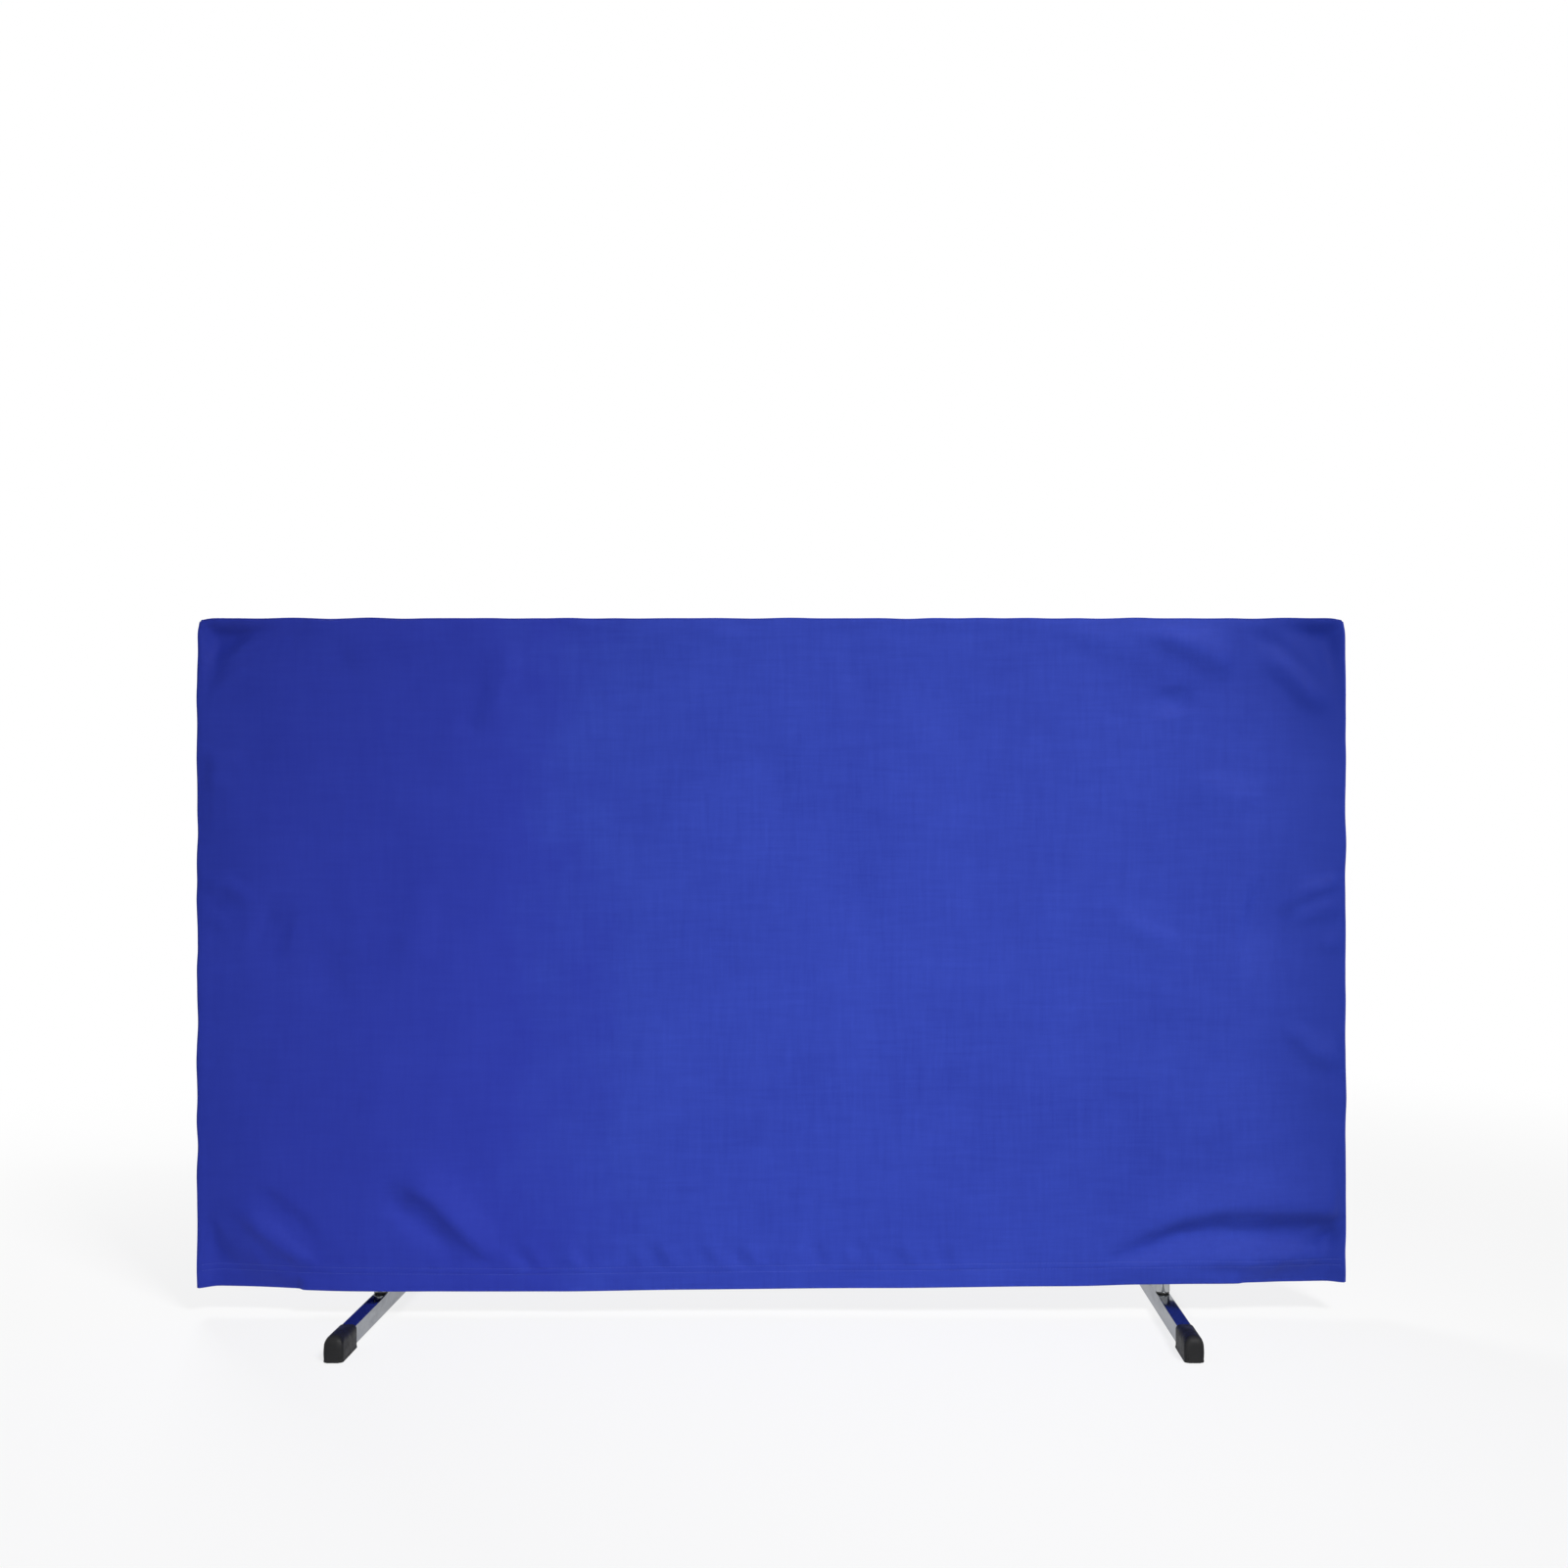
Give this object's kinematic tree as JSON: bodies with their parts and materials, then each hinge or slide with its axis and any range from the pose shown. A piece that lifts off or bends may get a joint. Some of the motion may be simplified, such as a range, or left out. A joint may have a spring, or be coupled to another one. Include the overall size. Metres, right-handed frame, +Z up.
{
  "type": "table tennis barrier",
  "caption": "Low court barrier: a fabric sleeve over a rectangular tube frame with bent corners, standing on two rubber-capped feet that turn to fold flat.",
  "frame": {"origin": "on the floor, below the middle of the barrier's length and depth", "axes": "+X along the barrier to its right end as seen from the table, +Y away from the table, +Z up"},
  "size_m": [1.2, 0.342, 0.729],
  "materials": {
    "cover_fabric": "plain woven polyester, soft sheen",
    "closure_tape": "hook and loop pile",
    "chrome_plate": "bright plated",
    "zinc_steel": "zinc plated",
    "black_rubber": "moulded, satin",
    "black_plastic": "moulded"
  },
  "bodies": {
    "barrier": {"top_rail": "chrome_plate", "bottom_rail": "chrome_plate", "left_upright": "chrome_plate", "right_upright": "chrome_plate", "corner_bend_top_left": "chrome_plate", "corner_bend_top_right": "chrome_plate", "corner_bend_bottom_left": "chrome_plate", "corner_bend_bottom_right": "chrome_plate", "top_left_rail_screw": "zinc_steel", "top_left_upright_screw": "zinc_steel", "top_right_rail_screw": "zinc_steel", "top_right_upright_screw": "zinc_steel", "bottom_left_rail_screw": "zinc_steel", "bottom_left_upright_screw": "zinc_steel", "bottom_right_rail_screw": "zinc_steel", "bottom_right_upright_screw": "zinc_steel", "left_pivot_bolt": "zinc_steel", "left_pivot_washer": "black_plastic", "left_pivot_boss": "chrome_plate", "left_rail_washer": "zinc_steel", "left_lock_nut": "zinc_steel", "right_pivot_bolt": "zinc_steel", "right_pivot_washer": "black_plastic", "right_pivot_boss": "chrome_plate", "right_rail_washer": "zinc_steel", "right_lock_nut": "zinc_steel", "cover_front_panel": "cover_fabric", "cover_back_panel": "cover_fabric", "cover_top_gusset": "cover_fabric", "cover_left_gusset": "cover_fabric", "cover_right_gusset": "cover_fabric", "closure_flap": "cover_fabric", "closure_loop_tape": "closure_tape", "closure_hook_tape": "closure_tape"},
    "left_foot": {"left_foot_tube": "chrome_plate", "left_foot_front_cap": "black_rubber", "left_foot_rear_cap": "black_rubber"},
    "right_foot": {"right_foot_tube": "chrome_plate", "right_foot_front_cap": "black_rubber", "right_foot_rear_cap": "black_rubber"}
  },
  "joints": [
    {"name": "left_foot_pivot", "type": "hinge", "parent": "barrier", "child": "left_foot", "pos_m": [-0.41, 0, 0.02], "axis": [0, 0, 1], "range_deg": [-90, 90]},
    {"name": "right_foot_pivot", "type": "hinge", "parent": "barrier", "child": "right_foot", "pos_m": [0.41, 0, 0.02], "axis": [0, 0, 1], "range_deg": [-90, 90]}
  ]
}
